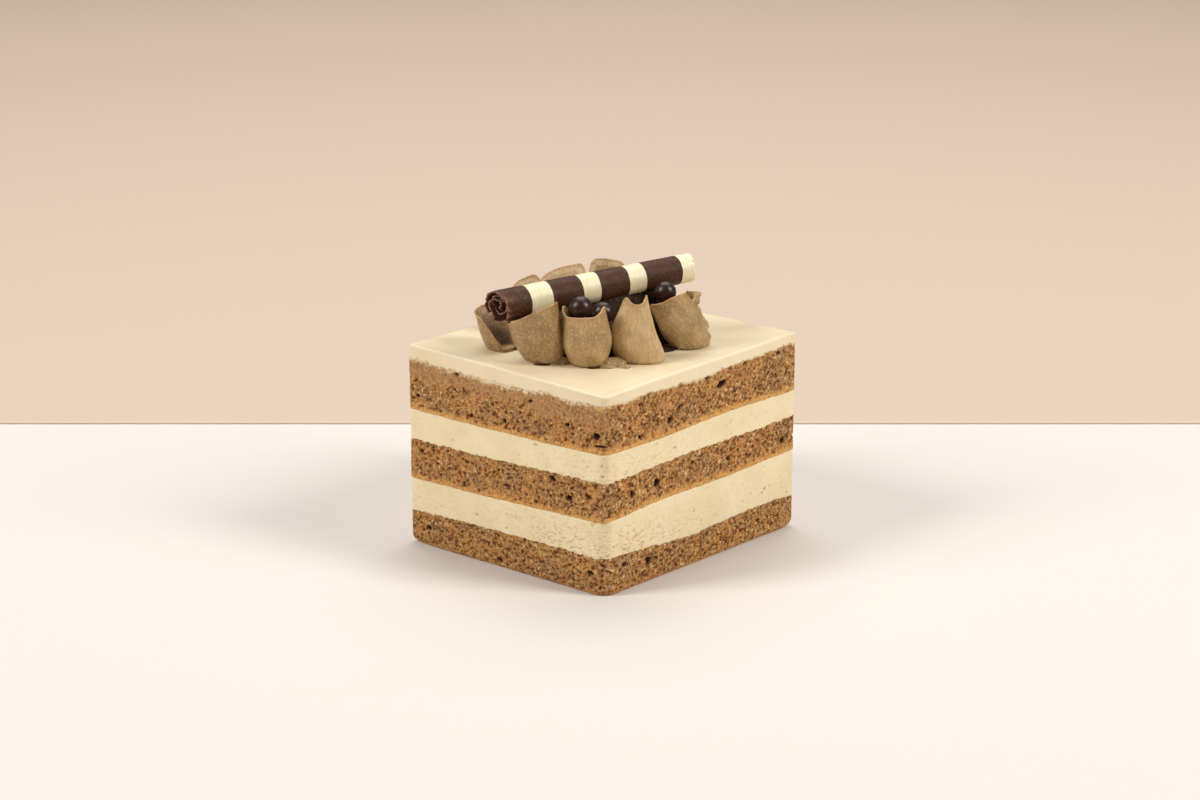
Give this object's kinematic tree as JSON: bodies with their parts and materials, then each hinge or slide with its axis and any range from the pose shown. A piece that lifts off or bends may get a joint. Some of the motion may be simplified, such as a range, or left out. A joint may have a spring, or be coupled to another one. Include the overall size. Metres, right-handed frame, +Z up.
{
  "type": "tiramisu",
  "caption": "Square-cut slice of tiramisu layer cake: coffee sponge and cream in bands, smooth icing, scooped coffee-cream petals, a striped chocolate roll and glossy chocolate pearls.",
  "frame": {"origin": "centre of the flat base, under the middle of the slice", "axes": "+Z up; the front cut face looks along -Y and the right cut face along +X"},
  "size_m": [0.065, 0.073, 0.0711],
  "materials": {
    "sponge": null,
    "cream": "set whipped cream, matte with fine pits",
    "icing": "smooth set glaze, half gloss",
    "coffee_cream": "scooped cream, satin, with a thin darker rim",
    "striped_chocolate": "rolled dark chocolate with ivory stripes, satin",
    "glazed_chocolate": "glossy dark glaze"
  },
  "bodies": {
    "root": {"sponge_bottom": "sponge", "cream_lower": "cream", "sponge_middle": "sponge", "cream_upper": "cream", "sponge_top": "sponge", "icing": "icing", "petal_1": "coffee_cream", "petal_2": "coffee_cream", "petal_3": "coffee_cream", "petal_4": "coffee_cream", "petal_5": "coffee_cream", "petal_6": "coffee_cream", "petal_7": "coffee_cream", "petal_8": "coffee_cream", "petal_9": "coffee_cream", "chocolate_roll": "striped_chocolate", "pearl_1": "glazed_chocolate", "pearl_2": "glazed_chocolate", "pearl_3": "glazed_chocolate"}
  },
  "joints": []
}
